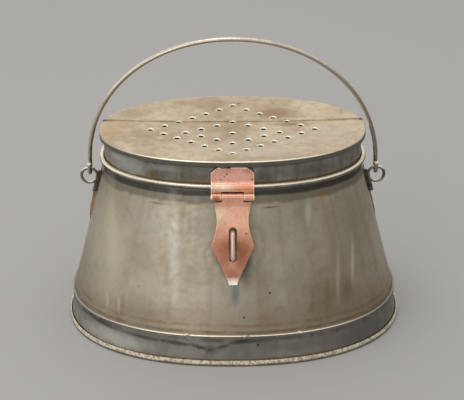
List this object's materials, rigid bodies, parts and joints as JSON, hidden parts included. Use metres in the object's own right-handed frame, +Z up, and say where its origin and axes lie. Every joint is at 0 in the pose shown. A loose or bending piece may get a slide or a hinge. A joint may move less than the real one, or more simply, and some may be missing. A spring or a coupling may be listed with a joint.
{
  "type": "bait tin",
  "caption": "Oval tinplate bait can that flares to its foot, with a hinged lid of punched air holes, a copper hasp over a wire staple and a swinging wire bail.",
  "frame": {"origin": "on the floor at the middle of the oval foot", "axes": "+X to the right along the oval's long axis, +Y to the rear where the lid is hinged, +Z up"},
  "size_m": [0.228, 0.169, 0.2073],
  "materials": {
    "tin_body": "aged tinplate, dull grey with a brown patina and vertical wipe marks",
    "tin_dark": "darkened tinplate with bright worn edges",
    "tin_lid": "tinplate with a warm brown bloom",
    "copper": "polished copper with dark patches",
    "steel_wire": "tinned iron wire, worn bright on top"
  },
  "bodies": {
    "tin_body": {"body_front_sheet": "tin_body", "body_rear_sheet": "tin_body", "neck_collar": "tin_dark", "foot_band": "tin_dark", "bottom_plate": "tin_dark", "right_ear_patch": "tin_dark", "left_ear_patch": "tin_dark", "right_ear_eye": "steel_wire", "left_ear_eye": "steel_wire", "hasp_staple": "copper", "hinge_body_leaf": "copper", "hinge_pin": "copper"},
    "lid": {"lid_front_plate": "tin_lid", "lid_rear_plate": "tin_lid", "lid_skirt": "tin_dark", "lid_rim_wire": "steel_wire", "hinge_lid_leaf": "copper", "hasp_lid_leaf": "copper", "hasp_pin": "copper"},
    "hasp": {"hasp_leaf": "copper"},
    "bail": {"bail_wire": "steel_wire"}
  },
  "joints": [
    {"name": "lid_hinge", "type": "hinge", "parent": "tin_body", "child": "lid", "pos_m": [0, 0.0599, 0.1113], "axis": [-1, 0, 0], "range_deg": [0, 105]},
    {"name": "bail_swing", "type": "hinge", "parent": "tin_body", "child": "bail", "pos_m": [0, 0, 0.1061], "axis": [1, 0, 0], "range_deg": [-140, 115]},
    {"name": "hasp_swing", "type": "hinge", "parent": "lid", "child": "hasp", "pos_m": [0, -0.0599, 0.1113], "axis": [-1, 0, 0], "range_deg": [0, 150]}
  ],
  "couplings": [
    {"joint": "bail_swing", "follows": "lid_hinge", "ratio": 1}
  ]
}
